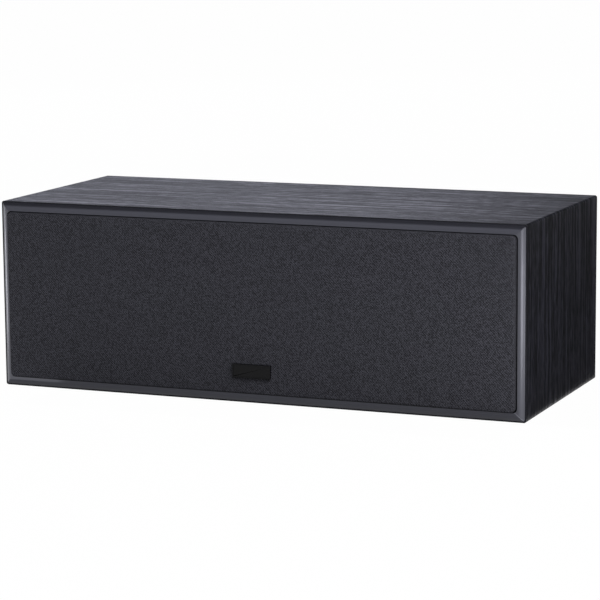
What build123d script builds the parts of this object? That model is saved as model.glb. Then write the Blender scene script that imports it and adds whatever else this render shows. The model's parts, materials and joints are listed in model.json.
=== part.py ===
from build123d import *
import math
import os

# Center channel loudspeaker: two cone woofers either side of a dome tweeter, in a folded
# foil-covered cabinet behind a cloth grille. Millimetres, +Z up, the front faces -Y, and the
# origin lies under the middle of the cabinet.

os.makedirs("parts", exist_ok=True)

# Cabinet
WIDTH = 426.0
HEIGHT = 145.0
DEPTH = 180.0
BOARD = 12.0
FOLD_RADIUS = 1.8
REAR_INSET = 5.5
EDGE_BOARD = 4.0
MAT = 12.0
MAT_FRONT = 30.0
MAT_REAR = 15.0

# Bevelled rim of the baffle, set in from the wrap's edge and standing in front of it
RIM = 7.3
END_RIM = 6.0
RIM_INSET = 1.1
RIM_SIDE = 0.3
BEVEL = 1.4
BLEND_RADIUS = 5.0
LAND_SLOPE = math.radians(10.0)
PLUG = 16.4

# Grille
RECESS = 7.5
RECESS_CORNER = 3.5
GRILLE_PROUD = 3.0
GRILLE_GAP = 0.7
GRILLE_END_GAP = 1.2
GRILLE_SEAT = 1.0
CLOTH = 0.8
CLOTH_EDGE = 1.4
CLOTH_RETURN = 6.0
CLOTH_GAP = 0.1
FRAME_BORDER = 11.0
FRAME_RIB = 8.0
PEG_R = 3.4
PEG_LENGTH = 9.0
PEG_PLAY = 0.3
PEG_INSET = 14.2
PEG_MARGIN = 12.2
SOCKET_R = 5.0
SOCKET_FLANGE_R = 6.0
SOCKET_FLANGE = 0.8
SOCKET_DEPTH = 10.5
BOSS_R = 6.5
BADGE_WIDTH = 31.0
BADGE_HEIGHT = 10.5
BADGE_THICK = 2.0
BADGE_Z = 25.5

# Shared by both kinds of driver
GASKET = 1.0
SCREW_R = 1.6
SCREW_HEAD_R = 2.9
SCREW_HEAD = 1.9
SCREW_LENGTH = 10.0
SCREW_PLAY = 0.4
FIT = 0.05
HOLE_PLAY = 0.3

# Woofer, sized by the height left inside the rim
WOOFER_MARGIN = 7.5
FLANGE_WIDTH = 10.0
SHEET = 1.2
ROLL_OUT = 4.3
RUBBER = 0.7
SURROUND_LIP = 3.4
CONE_SKIN = 0.8
CONE_LIP = 4.0
CONE_DEPTH = 17.2
CAP_RADIUS = 17.0
CAP_RISE = 7.0
CAP_SKIN = 0.7
CAP_LIFT = 0.2
COIL_R = 12.7
FORMER_SKIN = 0.3
FORMER_LENGTH = 29.0
WINDING = 0.9
WINDING_LENGTH = 10.0
LEDGE_DROP = 23.0
LEDGE_WIDTH = 5.5
BOTTOM_DROP = 35.2
SPIDER_SKIN = 0.6
SPIDER_WAVE = 1.6
SPIDER_WAVES = 3
GLUE_GAP = 0.3
POLE_PLAY = 0.4
PLATE_PLAY = 0.5
PLATE_R = 30.0
PLATE = 4.0
MAGNET_R = 35.0
MAGNET_BORE_R = 18.0
MAGNET = 12.0
YOKE = 5.0
POLE_VENT_R = 4.0

# Tweeter
TWEETER_R = 44.0
TWEETER_PEG_GAP = 3.0
TWEETER_PLATE = 4.0
TWEETER_RIM = 8.0
TWEETER_SHOULDER = 11.0
TWEETER_BOSS_PLAY = 3.0
GUIDE_DEPTH = 3.3
DOME_R = 12.5
DOME_RISE = 5.0
DOME_ROLL = 2.0
DOME_SKIN = 0.3
DOME_LIP = 3.0
TWEETER_COIL_LENGTH = 4.3
TWEETER_WINDING = 0.4
TWEETER_TOP = 3.0
TWEETER_MAGNET = 10.0
TWEETER_YOKE = 4.0

# Rear: reflex port and terminal cup
PORT_R = 20.0
PORT_WALL = 2.5
PORT_FLARE = 8.0
PORT_FLANGE = 4.0
PORT_LENGTH = 78.0
CUP_WIDTH = 66.0
CUP_HEIGHT = 46.0
CUP_DEPTH = 24.0
CUP_WALL = 2.5
CUP_FLANGE = 8.0
CUP_CORNER = 5.0
CUP_DRAFT = 3.0
POST_SPACING = 19.0
STUD_R = 3.0
STUD_INNER = 12.0
STUD_OUTER = 17.0
BANANA_R = 2.0
BANANA_DEPTH = 11.0
WIRE_HOLE_R = 1.2
COLLAR_R = 5.5
COLLAR = 2.0
WASHER_R = 5.2
WASHER = 1.0
TURN_CAP_R = 6.2
TURN_CAP_LENGTH = 18.0
TURN_CAP_END = 2.0
TURN_CAP_MOUTH_R = 2.5
FLUTES = 16
FLUTE_R = 0.7
THREAD_PLAY = 0.3
NUT_ACROSS = 10.0
NUT = 5.0

# Crossover and leads
PCB_WIDTH = 96.0
PCB_DEPTH = 60.0
PCB = 1.6
SPACER_R = 3.5
SPACER = 6.0
SPACER_INSET = 5.0
COIL_MARGIN = 3.0
LARGE_COIL_R = 18.0
LARGE_COIL_BORE_R = 8.0
LARGE_COIL = 18.0
SMALL_COIL_R = 12.0
SMALL_COIL_BORE_R = 5.5
SMALL_COIL = 12.0
COIL_SPACING = 6.0
CAPACITOR_R = 6.5
CAPACITOR_LENGTH = 30.0
CAPACITOR_INSET = 20.0
CAPACITOR_GAP = 2.5
CAPACITOR_SPACING = 15.0
RESISTOR_WIDTH = 9.0
RESISTOR_LENGTH = 25.0
RESISTOR_INSET = 7.5
RESISTOR_MARGIN = 5.5
LEAD_R = 1.5
TAG = 1.6
TAG_WIDTH = 14.0
TAG_HEIGHT = 18.0
TAG_REACH = 9.0
TWEETER_TAG_WIDTH = 16.0
TWEETER_TAG_HEIGHT = 10.0

# Planes and sizes that follow from the above
AXIS_Z = HEIGHT / 2
REAR_Y = DEPTH / 2
JOINT_Y = -DEPTH / 2
BLEND_RUN = BLEND_RADIUS * (math.sin(math.pi / 4) - math.sin(LAND_SLOPE))
BLEND_RISE = BLEND_RADIUS * (math.cos(LAND_SLOPE) - math.cos(math.pi / 4))
LAND_RUN = RIM - RIM_INSET - BEVEL - BLEND_RUN
LIP = RIM_SIDE + BEVEL + BLEND_RISE + LAND_RUN * math.tan(LAND_SLOPE)
LAND_Y = JOINT_Y - LIP
FLOOR_Y = LAND_Y + RECESS
PLUG_Y = JOINT_Y + PLUG
CLOTH_Y = LAND_Y - GRILLE_PROUD
GRILLE_BACK_Y = FLOOR_Y - GRILLE_SEAT
FRAME_FRONT_Y = CLOTH_Y + CLOTH + CLOTH_GAP
FRAME_BACK_Y = GRILLE_BACK_Y - CLOTH - CLOTH_GAP
INNER_WIDTH = WIDTH - 2 * BOARD
INNER_HEIGHT = HEIGHT - 2 * BOARD
PLUG_WIDTH = WIDTH - 2 * EDGE_BOARD
PLUG_HEIGHT = HEIGHT - 2 * EDGE_BOARD
RECESS_WIDTH = WIDTH - 2 * END_RIM
RECESS_HEIGHT = HEIGHT - 2 * RIM
FACE_WIDTH = WIDTH - 2 * RIM_INSET
FACE_HEIGHT = HEIGHT - 2 * RIM_INSET
GRILLE_WIDTH = RECESS_WIDTH - 2 * GRILLE_END_GAP
GRILLE_HEIGHT = RECESS_HEIGHT - 2 * GRILLE_GAP
GRILLE_CORNER = RECESS_CORNER - GRILLE_GAP
PEG_REACH = RECESS_WIDTH / 2 - PEG_INSET
PEG_RISE = RECESS_HEIGHT / 2 - PEG_MARGIN
# The middle pegs stand over and under the tweeter, or as far to its sides as clears it
PEG_CLEARANCE = TWEETER_R + TWEETER_PEG_GAP + SOCKET_FLANGE_R
MIDDLE_PEG_X = math.sqrt(max(PEG_CLEARANCE**2 - PEG_RISE**2, 0.0))
PEG_SPOTS = [
    (side * PEG_REACH + (1 - abs(side)) * level * MIDDLE_PEG_X, level * PEG_RISE)
    for side in (-1, 0, 1)
    for level in (-1, 1)
]
REAR_FACE_Y = REAR_Y - REAR_INSET
REAR_INNER_Y = REAR_FACE_Y - BOARD
CUP_FRONT_Y = REAR_FACE_Y + GASKET + CUP_WALL
CUP_FLOOR_Y = CUP_FRONT_Y - CUP_DEPTH

TWEETER_HOLE_R = TWEETER_R - TWEETER_SHOULDER
TWEETER_BOSS_R = TWEETER_HOLE_R - TWEETER_BOSS_PLAY
GUIDE_R = TWEETER_R - TWEETER_RIM

WOOFER_R = RECESS_HEIGHT / 2 - WOOFER_MARGIN
WOOFER_X = (RECESS_WIDTH / 2 + TWEETER_R) / 2
WOOFER_STEP = GASKET + SHEET
WOOFER_HOLE_R = WOOFER_R - FLANGE_WIDTH
MOUTH_R = WOOFER_HOLE_R - SHEET - HOLE_PLAY - 0.1
ROLL_IN = ROLL_OUT - RUBBER
ROLL_R = MOUTH_R - ROLL_OUT + 0.3
CONE_R = ROLL_R - ROLL_IN - 0.1
LEDGE_OUT_R = MOUTH_R - 4.1
LEDGE_IN_R = LEDGE_OUT_R - LEDGE_WIDTH
BOTTOM_R = LEDGE_IN_R - 6.0
WOOFER_SCREW_R = WOOFER_R - 4.2
FLANGE_H = WOOFER_STEP
LEDGE_H = FLANGE_H - LEDGE_DROP
BOTTOM_H = FLANGE_H - BOTTOM_DROP
PLATE_H = BOTTOM_H - SHEET
MAGNET_H = PLATE_H - PLATE
YOKE_H = MAGNET_H - MAGNET
NECK_H = FLANGE_H - CONE_DEPTH
COIL_MID_H = PLATE_H - PLATE / 2
POLE_R = COIL_R - FORMER_SKIN - POLE_PLAY
GAP_R = COIL_R + WINDING + PLATE_PLAY
WINDOW_TOP_H = FLANGE_H - 5.0
WINDOW_LOW_H = LEDGE_H + 2.5

TWEETER_STEP = GASKET + TWEETER_PLATE
TWEETER_SCREW_R = (TWEETER_R + GUIDE_R) / 2
DOME_LIP_H = TWEETER_STEP - GUIDE_DEPTH - 3.0
TWEETER_TOP_H = DOME_LIP_H - DOME_SKIN
TWEETER_MAGNET_H = TWEETER_TOP_H - TWEETER_TOP
TWEETER_YOKE_H = TWEETER_MAGNET_H - TWEETER_MAGNET
THROAT_R = DOME_R + 2 * DOME_ROLL

PORT_X = WOOFER_X
PCB_Z = BOARD + SPACER
CENTRE = (Align.CENTER, Align.CENTER, Align.CENTER)
FORWARD = (Align.CENTER, Align.CENTER, Align.MIN)
BACKWARD = (Align.CENTER, Align.CENTER, Align.MAX)


def front(y, x=0.0):
    """A plane facing the listener: local x is +X, local y is +Z, its normal is -Y."""
    return Plane(origin=(x, y, AXIS_Z), x_dir=(1, 0, 0), z_dir=(0, -1, 0))


def rear(y, x=0.0):
    """A plane facing the wall behind: local x is -X, local y is +Z, its normal is +Y."""
    return Plane(origin=(x, y, AXIS_Z), x_dir=(-1, 0, 0), z_dir=(0, 1, 0))


def section(plane):
    """The half-section through a plane's axis: local x is the radius, local y the height."""
    return Plane(origin=plane.origin, x_dir=plane.x_dir, z_dir=plane.x_dir.cross(plane.z_dir))


def spin(plane):
    """Turn the pending section right round the plane's axis."""
    revolve(axis=Axis(plane.origin, plane.z_dir))


def ring(plane, low, high, outer, inner=0.0):
    """A flat ring between two heights above the plane."""
    with BuildSketch(plane.offset(low)) as outline:
        Circle(outer)
        if inner > 0:
            Circle(inner, mode=Mode.SUBTRACT)
    extrude(outline.sketch, amount=high - low)


def lathe(plane, points):
    """A turned piece from the corners of its half-section."""
    with BuildSketch(section(plane)) as outline:
        with BuildLine():
            Polyline(*points, close=True)
        make_face()
    revolve(outline.sketch, axis=Axis(plane.origin, plane.z_dir))


def polar(radius, count, start=0.0):
    """Spots evenly spaced on a circle."""
    turns = [math.radians(start + 360.0 * step / count) for step in range(count)]
    return [(radius * math.cos(turn), radius * math.sin(turn)) for turn in turns]


def screws(plane, spots):
    """Cross-head screws whose heads stand on the plane."""
    with Locations(plane):
        with Locations(*spots):
            Cylinder(SCREW_HEAD_R, SCREW_HEAD, align=FORWARD)
            Cylinder(SCREW_R, SCREW_LENGTH, align=BACKWARD)
    with Locations(plane.offset(SCREW_HEAD)):
        with Locations(*spots):
            Box(3.4, 0.9, 2.0, align=CENTRE, mode=Mode.SUBTRACT)
            Box(0.9, 3.4, 2.0, align=CENTRE, mode=Mode.SUBTRACT)


def holes(plane, spots, radius, depth):
    """Blind or through holes drilled behind the plane."""
    with Locations(plane):
        with Locations(*spots):
            Cylinder(radius, depth, align=BACKWARD, mode=Mode.SUBTRACT)


def rim_outline(half):
    """Draw the baffle's rim in section, from the joint forward, over a width of 2 x half."""
    bevel_end = (half - BEVEL, RIM_SIDE + BEVEL)
    blend_end = (bevel_end[0] - BLEND_RUN, bevel_end[1] + BLEND_RISE)
    with BuildLine() as outline:
        Polyline((0, 0), (half, 0), (half, RIM_SIDE), bevel_end)
        TangentArc(bevel_end, blend_end, tangent=(-1, 1))
        Polyline(blend_end, (half + RIM_INSET - RIM, LIP), (0, LIP))
        mirror(about=Plane.YZ)
    make_face(outline.edges())


def save(part, name):
    part.label = name
    export_step(part, "parts/" + name + ".step")


# Cabinet wrap: one board folded round the top, bottom and sides, rebated to take the baffle
with BuildPart() as cabinet_wrap:
    with BuildSketch(front(JOINT_Y)):
        Rectangle(WIDTH, HEIGHT)
        Rectangle(INNER_WIDTH, INNER_HEIGHT, mode=Mode.SUBTRACT)
    extrude(amount=-DEPTH)
    with BuildSketch(front(JOINT_Y)):
        Rectangle(PLUG_WIDTH, PLUG_HEIGHT)
    extrude(amount=-PLUG, mode=Mode.SUBTRACT)
    long_edges = cabinet_wrap.edges().filter_by(Axis.Y).group_by(Axis.X)
    fillet(long_edges[0] + long_edges[-1], FOLD_RADIUS)
save(cabinet_wrap.part, "cabinet_wrap")

# Front baffle: two crossed rim sections give the mitred bevel, then the plug and the cut-outs
WOOFER_SCREW_SPOTS = polar(WOOFER_SCREW_R, 4, 45.0)
TWEETER_SCREW_SPOTS = polar(TWEETER_SCREW_R, 4, 45.0)
with BuildPart() as front_baffle:
    with BuildSketch(Plane(origin=(0, JOINT_Y, AXIS_Z), x_dir=(0, 0, 1), z_dir=(1, 0, 0))):
        rim_outline(FACE_HEIGHT / 2)
    extrude(amount=WIDTH / 2, both=True)
    with BuildSketch(Plane(origin=(0, JOINT_Y, AXIS_Z), x_dir=(1, 0, 0), z_dir=(0, 0, -1))):
        rim_outline(FACE_WIDTH / 2)
    extrude(amount=HEIGHT / 2, both=True, mode=Mode.INTERSECT)
    with BuildSketch(front(JOINT_Y)):
        RectangleRounded(FACE_WIDTH, FACE_HEIGHT, FOLD_RADIUS)
    extrude(amount=LIP, mode=Mode.INTERSECT)
    with BuildSketch(front(JOINT_Y)):
        Rectangle(PLUG_WIDTH, PLUG_HEIGHT)
    extrude(amount=-PLUG)
    with BuildSketch(front(LAND_Y)):
        RectangleRounded(RECESS_WIDTH, RECESS_HEIGHT, RECESS_CORNER)
    extrude(amount=-RECESS, mode=Mode.SUBTRACT)
    for centre_x in (-WOOFER_X, WOOFER_X):
        holes(front(FLOOR_Y, centre_x), [(0, 0)], WOOFER_R + HOLE_PLAY, WOOFER_STEP)
        holes(front(FLOOR_Y, centre_x), [(0, 0)], WOOFER_HOLE_R, PLUG + LIP)
        holes(front(FLOOR_Y, centre_x), WOOFER_SCREW_SPOTS, SCREW_R + FIT, SCREW_LENGTH + 0.5)
    holes(front(FLOOR_Y), [(0, 0)], TWEETER_R + HOLE_PLAY, TWEETER_STEP)
    holes(front(FLOOR_Y), [(0, 0)], TWEETER_HOLE_R, PLUG + LIP)
    holes(front(FLOOR_Y), TWEETER_SCREW_SPOTS, SCREW_R + FIT, SCREW_LENGTH + 0.5)
    holes(front(FLOOR_Y), PEG_SPOTS, SOCKET_R + FIT, SOCKET_DEPTH)
save(front_baffle.part, "front_baffle")

# Rear panel, set in from the wrap's back edge
CUP_SCREW_SPOTS = [
    (side * (CUP_WIDTH + CUP_FLANGE) / 2, level * (CUP_HEIGHT + CUP_FLANGE) / 2)
    for side in (-1, 1)
    for level in (-1, 1)
]
with BuildPart() as rear_panel:
    with BuildSketch(rear(REAR_FACE_Y)):
        Rectangle(INNER_WIDTH, INNER_HEIGHT)
        RectangleRounded(CUP_WIDTH + 2 * CUP_WALL + 1, CUP_HEIGHT + 2 * CUP_WALL + 1,
                         CUP_CORNER, mode=Mode.SUBTRACT)
        with Locations((-PORT_X, 0)):
            Circle(PORT_R + PORT_FLARE + HOLE_PLAY, mode=Mode.SUBTRACT)
    extrude(amount=-BOARD)
    holes(rear(REAR_FACE_Y), CUP_SCREW_SPOTS, SCREW_R + FIT, SCREW_LENGTH)
save(rear_panel.part, "rear_panel")

# Damping mat under the top and down both sides
with BuildPart() as damping_mat:
    with BuildSketch(front(PLUG_Y + MAT_FRONT)):
        Rectangle(INNER_WIDTH, INNER_HEIGHT)
        with Locations((0, -MAT / 2)):
            Rectangle(INNER_WIDTH - 2 * MAT, INNER_HEIGHT - MAT, mode=Mode.SUBTRACT)
    extrude(amount=-(REAR_INNER_Y - PLUG_Y - MAT_FRONT - MAT_REAR))
save(damping_mat.part, "damping_mat")

# Grille cloth: stretched over the front, round the edges and glued behind
with BuildPart() as grille_cloth:
    with BuildSketch(front(GRILLE_BACK_Y)):
        RectangleRounded(GRILLE_WIDTH, GRILLE_HEIGHT, GRILLE_CORNER)
    extrude(amount=GRILLE_BACK_Y - CLOTH_Y)
    fillet(grille_cloth.faces().sort_by(Axis.Y)[0].edges(), CLOTH_EDGE)
    with BuildSketch(front(GRILLE_BACK_Y - CLOTH)):
        RectangleRounded(GRILLE_WIDTH - 2 * CLOTH, GRILLE_HEIGHT - 2 * CLOTH, GRILLE_CORNER - CLOTH)
    extrude(amount=GRILLE_BACK_Y - CLOTH_Y - 2 * CLOTH, mode=Mode.SUBTRACT)
    with BuildSketch(front(GRILLE_BACK_Y)):
        RectangleRounded(GRILLE_WIDTH - 2 * CLOTH_RETURN, GRILLE_HEIGHT - 2 * CLOTH_RETURN,
                         GRILLE_CORNER - CLOTH)
    extrude(amount=CLOTH, mode=Mode.SUBTRACT)
save(grille_cloth.part, "grille_cloth")

# Grille frame: a moulded border with two ribs and a boss behind each peg
FRAME_WIDTH = GRILLE_WIDTH - 2 * CLOTH - 2 * CLOTH_GAP
FRAME_HEIGHT = GRILLE_HEIGHT - 2 * CLOTH - 2 * CLOTH_GAP
RIB_X = (WOOFER_X - WOOFER_R + TWEETER_R) / 2
WINDOW_HEIGHT = FRAME_HEIGHT - 2 * FRAME_BORDER
SIDE_WINDOW = FRAME_WIDTH / 2 - FRAME_BORDER - RIB_X - FRAME_RIB / 2
SIDE_WINDOW_X = RIB_X + FRAME_RIB / 2 + SIDE_WINDOW / 2
with BuildPart() as grille_frame:
    with BuildSketch(front(FRAME_BACK_Y)):
        RectangleRounded(FRAME_WIDTH, FRAME_HEIGHT, GRILLE_CORNER - CLOTH)
        RectangleRounded(2 * RIB_X - FRAME_RIB, WINDOW_HEIGHT, 6.0, mode=Mode.SUBTRACT)
        with Locations((-SIDE_WINDOW_X, 0), (SIDE_WINDOW_X, 0)):
            RectangleRounded(SIDE_WINDOW, WINDOW_HEIGHT, 6.0, mode=Mode.SUBTRACT)
        with Locations(*PEG_SPOTS):
            Circle(BOSS_R)
    extrude(amount=FRAME_BACK_Y - FRAME_FRONT_Y)
save(grille_frame.part, "grille_frame")

# Pegs behind the frame and the rubber sockets that grip them
PEG_END = FLOOR_Y - FRAME_BACK_Y + PEG_LENGTH
with BuildPart() as grille_pegs:
    with Locations(front(FRAME_BACK_Y)):
        with Locations(*PEG_SPOTS):
            Cylinder(PEG_R, PEG_END, align=BACKWARD)
    chamfer(grille_pegs.faces().group_by(Axis.Y)[-1].edges(), 0.8)
save(grille_pegs.part, "grille_pegs")

with BuildPart() as grille_sockets:
    with Locations(front(FLOOR_Y)):
        with Locations(*PEG_SPOTS):
            Cylinder(SOCKET_R, SOCKET_DEPTH, align=BACKWARD)
            Cylinder(SOCKET_FLANGE_R, SOCKET_FLANGE, align=FORWARD)
    holes(front(FLOOR_Y - SOCKET_FLANGE), PEG_SPOTS, PEG_R + PEG_PLAY, PEG_LENGTH + SOCKET_FLANGE + 0.5)
save(grille_sockets.part, "grille_sockets")

# Badge plate on the cloth
with BuildPart() as badge_plate:
    with BuildSketch(Plane(origin=(0, CLOTH_Y, BADGE_Z), x_dir=(1, 0, 0), z_dir=(0, -1, 0))):
        RectangleRounded(BADGE_WIDTH, BADGE_HEIGHT, 0.8)
    extrude(amount=BADGE_THICK)
    chamfer(badge_plate.faces().sort_by(Axis.Y)[0].edges(), 0.5)
save(badge_plate.part, "badge_plate")


def woofer_basket(seat):
    """Pressed basket: flange, open wall, spider ledge and bottom, all of one sheet."""
    with BuildPart() as basket:
        with BuildSketch(section(seat)):
            with BuildLine():
                Polyline((WOOFER_R, FLANGE_H), (MOUTH_R, FLANGE_H), (LEDGE_OUT_R, LEDGE_H),
                         (LEDGE_IN_R, LEDGE_H), (BOTTOM_R, BOTTOM_H), (GAP_R + 2, BOTTOM_H))
                offset(amount=SHEET, side=Side.LEFT, kind=Kind.INTERSECTION)
            make_face()
        spin(seat)
        with Locations(seat.offset((WINDOW_TOP_H + WINDOW_LOW_H) / 2)):
            with PolarLocations(LEDGE_OUT_R + 2, 4):
                Box(14, LEDGE_OUT_R, WINDOW_TOP_H - WINDOW_LOW_H, mode=Mode.SUBTRACT)
        holes(seat.offset(FLANGE_H), WOOFER_SCREW_SPOTS, SCREW_R + SCREW_PLAY, SHEET)
    return basket.part


def woofer_gasket(seat):
    with BuildPart() as gasket:
        ring(seat, 0, GASKET, WOOFER_R - 0.5, WOOFER_HOLE_R + 0.5)
        holes(seat.offset(GASKET), WOOFER_SCREW_SPOTS, SCREW_R + SCREW_PLAY, GASKET)
    return gasket.part


def woofer_surround(seat):
    """Half-roll of rubber between the basket's flange and the cone's lip."""
    base = FLANGE_H
    top = FLANGE_H + RUBBER
    reach = math.sqrt(ROLL_OUT ** 2 - RUBBER ** 2)
    outer = MOUTH_R + SURROUND_LIP
    inner = CONE_R - CONE_LIP
    with BuildPart() as surround:
        with BuildSketch(section(seat)):
            with BuildLine():
                Polyline((ROLL_R + ROLL_IN, base), (outer, base), (outer, top), (ROLL_R + reach, top))
                ThreePointArc((ROLL_R + reach, top), (ROLL_R, base + ROLL_OUT), (ROLL_R - reach, top))
                Polyline((ROLL_R - reach, top), (inner, top), (inner, base), (ROLL_R - ROLL_IN, base))
                ThreePointArc((ROLL_R - ROLL_IN, base), (ROLL_R, base + ROLL_IN), (ROLL_R + ROLL_IN, base))
            make_face()
        spin(seat)
    return surround.part


CONE_SLOPE = (CONE_DEPTH - CONE_SKIN) / (CONE_R - CONE_LIP - COIL_R)


def cone_height(radius):
    """Height of the cone's front face at a radius."""
    return NECK_H + CONE_SKIN + (radius - COIL_R) * CONE_SLOPE


def woofer_cone(seat):
    rim = CONE_R - CONE_LIP
    with BuildPart() as cone:
        lathe(seat, [(CONE_R, FLANGE_H), (rim, FLANGE_H), (COIL_R, NECK_H + CONE_SKIN),
                     (COIL_R, NECK_H), (rim, FLANGE_H - CONE_SKIN), (CONE_R, FLANGE_H - CONE_SKIN)])
    return cone.part


def ball_skin(centre_h, radius, skin, rim):
    """Draw a skin of a ball about the axis, out to a rim radius, cut square at the rim."""
    angle = math.degrees(math.acos(rim / radius))
    inner = radius - skin
    inner_rim = (inner * rim / radius, centre_h + inner * math.sin(math.radians(angle)))
    outer_rim = (rim, centre_h + radius * math.sin(math.radians(angle)))
    with BuildLine() as outline:
        CenterArc((0, centre_h), radius, angle, 90 - angle)
        CenterArc((0, centre_h), inner, angle, 90 - angle)
        Line((0, centre_h + inner), (0, centre_h + radius))
        Line(inner_rim, outer_rim)
    make_face(outline.edges())


def woofer_dust_cap(seat):
    """Domed cap glued to the cone's front face."""
    radius = (CAP_RADIUS ** 2 + CAP_RISE ** 2) / (2 * CAP_RISE)
    with BuildPart() as cap:
        with BuildSketch(section(seat)):
            ball_skin(cone_height(CAP_RADIUS) + CAP_LIFT + CAP_RISE - radius, radius, CAP_SKIN, CAP_RADIUS)
        spin(seat)
    return cap.part


def woofer_coil_former(seat):
    with BuildPart() as former:
        ring(seat, NECK_H - FORMER_LENGTH, NECK_H + CONE_SKIN, COIL_R, COIL_R - FORMER_SKIN)
    return former.part


def woofer_coil_winding(seat):
    with BuildPart() as winding:
        ring(seat, COIL_MID_H - WINDING_LENGTH / 2, COIL_MID_H + WINDING_LENGTH / 2, COIL_R + WINDING, COIL_R)
    return winding.part


def woofer_spider(seat):
    """Corrugated centring disc: a collar on the former, waves, and a lip on the basket's ledge."""
    collar_in = COIL_R + GLUE_GAP
    collar_out = collar_in + SPIDER_SKIN
    lip_in = LEDGE_IN_R + 0.5
    lip_out = LEDGE_OUT_R - 0.4
    half_wave = (lip_in - collar_out) / (2 * SPIDER_WAVES)
    crests = []
    for step in range(1, 2 * SPIDER_WAVES):
        lift = SPIDER_WAVE if step % 2 else -SPIDER_WAVE
        crests.append((collar_out + step * half_wave, LEDGE_H + lift))
    upper = [(x, h + SPIDER_SKIN) for x, h in crests]
    with BuildPart() as spider:
        lathe(seat, [(collar_in, LEDGE_H - 1.2), (collar_out, LEDGE_H - 1.2), *crests, (lip_in, LEDGE_H),
                     (lip_out, LEDGE_H), (lip_out, LEDGE_H + SPIDER_SKIN), (lip_in, LEDGE_H + SPIDER_SKIN),
                     *reversed(upper), (collar_out, LEDGE_H + 1.8), (collar_in, LEDGE_H + 1.8)])
    return spider.part


def woofer_top_plate(seat):
    with BuildPart() as top_plate:
        ring(seat, MAGNET_H, PLATE_H, PLATE_R, GAP_R)
    return top_plate.part


def woofer_magnet(seat):
    with BuildPart() as magnet:
        ring(seat, YOKE_H, MAGNET_H, MAGNET_R, MAGNET_BORE_R)
    return magnet.part


def woofer_yoke(seat):
    """Back plate and vented pole in one turned piece."""
    with BuildPart() as yoke:
        lathe(seat, [(POLE_VENT_R, YOKE_H - YOKE), (PLATE_R, YOKE_H - YOKE), (PLATE_R, YOKE_H),
                     (POLE_R, YOKE_H), (POLE_R, PLATE_H), (POLE_VENT_R, PLATE_H)])
    return yoke.part


WOOFER_PIECES = {
    "basket": woofer_basket,
    "gasket": woofer_gasket,
    "surround": woofer_surround,
    "cone": woofer_cone,
    "dust_cap": woofer_dust_cap,
    "coil_former": woofer_coil_former,
    "coil_winding": woofer_coil_winding,
    "spider": woofer_spider,
    "top_plate": woofer_top_plate,
    "magnet": woofer_magnet,
    "yoke": woofer_yoke,
}
for side_name, centre_x in (("left", -WOOFER_X), ("right", WOOFER_X)):
    for piece_name, make_piece in WOOFER_PIECES.items():
        piece = make_piece(front(FLOOR_Y + WOOFER_STEP, centre_x))
        save(piece, "woofer_" + side_name + "_" + piece_name)

with BuildPart() as woofer_screws:
    for centre_x in (-WOOFER_X, WOOFER_X):
        screws(front(FLOOR_Y, centre_x), WOOFER_SCREW_SPOTS)
save(woofer_screws.part, "woofer_screws")

# Tweeter: heights count from the floor of its counterbore
TWEETER_SEAT = front(FLOOR_Y + TWEETER_STEP)
with BuildPart() as tweeter_faceplate:
    guide_low = TWEETER_STEP - GUIDE_DEPTH
    lathe(TWEETER_SEAT, [(TWEETER_R, GASKET), (TWEETER_R, TWEETER_STEP), (GUIDE_R, TWEETER_STEP),
                         (THROAT_R + 1, guide_low), (THROAT_R, DOME_LIP_H), (TWEETER_BOSS_R, DOME_LIP_H),
                         (TWEETER_BOSS_R, GASKET)])
    holes(TWEETER_SEAT.offset(TWEETER_STEP), TWEETER_SCREW_SPOTS, SCREW_R + SCREW_PLAY, TWEETER_PLATE)
save(tweeter_faceplate.part, "tweeter_faceplate")

with BuildPart() as tweeter_gasket:
    ring(TWEETER_SEAT, 0, GASKET, TWEETER_R - 0.5, TWEETER_HOLE_R + 0.5)
    holes(TWEETER_SEAT.offset(GASKET), TWEETER_SCREW_SPOTS, SCREW_R + SCREW_PLAY, GASKET)
save(tweeter_gasket.part, "tweeter_gasket")

# Dome, its small roll and its clamped lip are one pressed skin
DOME_BALL_R = (DOME_R ** 2 + DOME_RISE ** 2) / (2 * DOME_RISE)
with BuildPart() as tweeter_dome:
    low = TWEETER_TOP_H
    high = DOME_LIP_H
    roll_r = DOME_R + DOME_ROLL
    with BuildSketch(section(TWEETER_SEAT)):
        ball_skin(high + DOME_RISE - DOME_BALL_R, DOME_BALL_R, DOME_SKIN, DOME_R)
        with BuildLine():
            ThreePointArc((DOME_R - 0.3, high), (roll_r, high + 1.3), (THROAT_R, high))
            Polyline((THROAT_R, high), (THROAT_R + DOME_LIP, high), (THROAT_R + DOME_LIP, low), (THROAT_R, low))
            ThreePointArc((THROAT_R, low), (roll_r, low + 1.3), (DOME_R - 0.3, low))
            Line((DOME_R - 0.3, low), (DOME_R - 0.3, high))
        make_face()
    spin(TWEETER_SEAT)
save(tweeter_dome.part, "tweeter_dome")

TWEETER_COIL_R = DOME_R - 0.15
with BuildPart() as tweeter_voice_coil:
    coil_low = TWEETER_TOP_H - TWEETER_COIL_LENGTH
    coil_in = TWEETER_COIL_R - FORMER_SKIN
    lathe(TWEETER_SEAT, [(coil_in, coil_low), (TWEETER_COIL_R + TWEETER_WINDING, coil_low),
                         (TWEETER_COIL_R + TWEETER_WINDING, TWEETER_TOP_H - 0.6),
                         (TWEETER_COIL_R, TWEETER_TOP_H - 0.6), (TWEETER_COIL_R, TWEETER_TOP_H),
                         (coil_in, TWEETER_TOP_H)])
save(tweeter_voice_coil.part, "tweeter_voice_coil")

with BuildPart() as tweeter_top_plate:
    ring(TWEETER_SEAT, TWEETER_MAGNET_H, TWEETER_TOP_H, TWEETER_BOSS_R,
         TWEETER_COIL_R + TWEETER_WINDING + PLATE_PLAY)
save(tweeter_top_plate.part, "tweeter_top_plate")

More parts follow.
